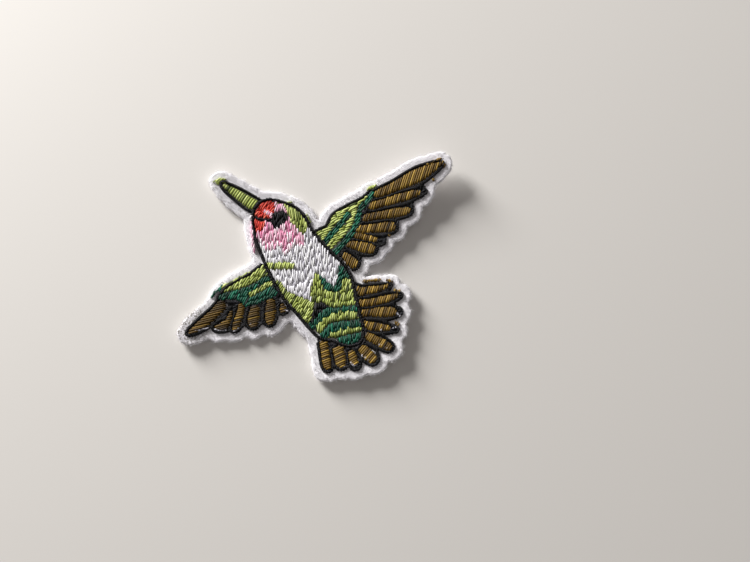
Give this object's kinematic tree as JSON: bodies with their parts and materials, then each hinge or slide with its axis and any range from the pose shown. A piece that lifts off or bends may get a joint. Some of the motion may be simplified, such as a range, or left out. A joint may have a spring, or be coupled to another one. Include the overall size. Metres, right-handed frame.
{
  "type": "embroidered patch",
  "caption": "Sew-on felt patch of a small bird in flight: a cut-out felt base with raised areas of coloured satin stitch and black stitched outlines.",
  "frame": {"origin": "middle of the patch's width and length, on the surface that the felt's back rests on", "axes": "+X to the bird's right wing side, +Y up the bird towards the wing tip, +Z out of the stitched face"},
  "size_m": [0.0612, 0.0518, 0.0049],
  "materials": {
    "felt_white": "matte off-white craft felt",
    "thread_green": "soft-sheen light green thread",
    "thread_teal": "soft-sheen teal thread",
    "thread_brown": "soft-sheen olive-brown thread",
    "thread_black": "soft-sheen black thread",
    "thread_red": "soft-sheen red thread",
    "thread_pink": "soft-sheen pink and white thread",
    "thread_white": "soft-sheen white thread"
  },
  "bodies": {
    "root": {"felt_base": "felt_white", "beak": "thread_green", "beak_tip": "thread_green", "beak_outline": "thread_black", "eye_patch": "thread_black", "mouth_line": "thread_black", "brow_red": "thread_red", "chin_red": "thread_red", "nape_green": "thread_green", "breast_bar": "thread_green", "thigh_front": "thread_green", "thigh_back": "thread_green", "vent_teal": "thread_teal", "vent_green": "thread_green", "flank_green": "thread_green", "flank_teal": "thread_teal", "rump_band_1": "thread_teal", "rump_band_2": "thread_green", "rump_band_3": "thread_teal", "rump_band_4": "thread_green", "rump_band_5": "thread_teal", "leg_black": "thread_black", "crown_pink": "thread_pink", "throat_pink": "thread_pink", "breast_white": "thread_white", "body_outline": "thread_black", "right_covert_1": "thread_teal", "right_covert_2": "thread_teal", "right_covert_3": "thread_green", "right_covert_4": "thread_green", "right_feather_1": "thread_brown", "right_feather_2": "thread_brown", "right_feather_3": "thread_brown", "right_feather_4": "thread_brown", "right_feather_5": "thread_brown", "right_feather_6": "thread_brown", "right_feather_7": "thread_brown", "right_wing_outline": "thread_black", "left_covert_1": "thread_teal", "left_covert_2": "thread_green", "left_covert_3": "thread_teal", "left_covert_4": "thread_green", "left_feather_1": "thread_brown", "left_feather_2": "thread_brown", "left_feather_3": "thread_brown", "left_feather_4": "thread_brown", "left_feather_5": "thread_brown", "left_feather_6": "thread_brown", "left_wing_outline": "thread_black", "tail_feather_1": "thread_brown", "tail_feather_2": "thread_brown", "tail_feather_3": "thread_brown", "tail_feather_4": "thread_brown", "tail_feather_5": "thread_brown", "tail_feather_6": "thread_brown", "tail_feather_7": "thread_brown", "tail_feather_8": "thread_brown", "tail_feather_9": "thread_brown", "tail_outline": "thread_black"}
  },
  "joints": []
}
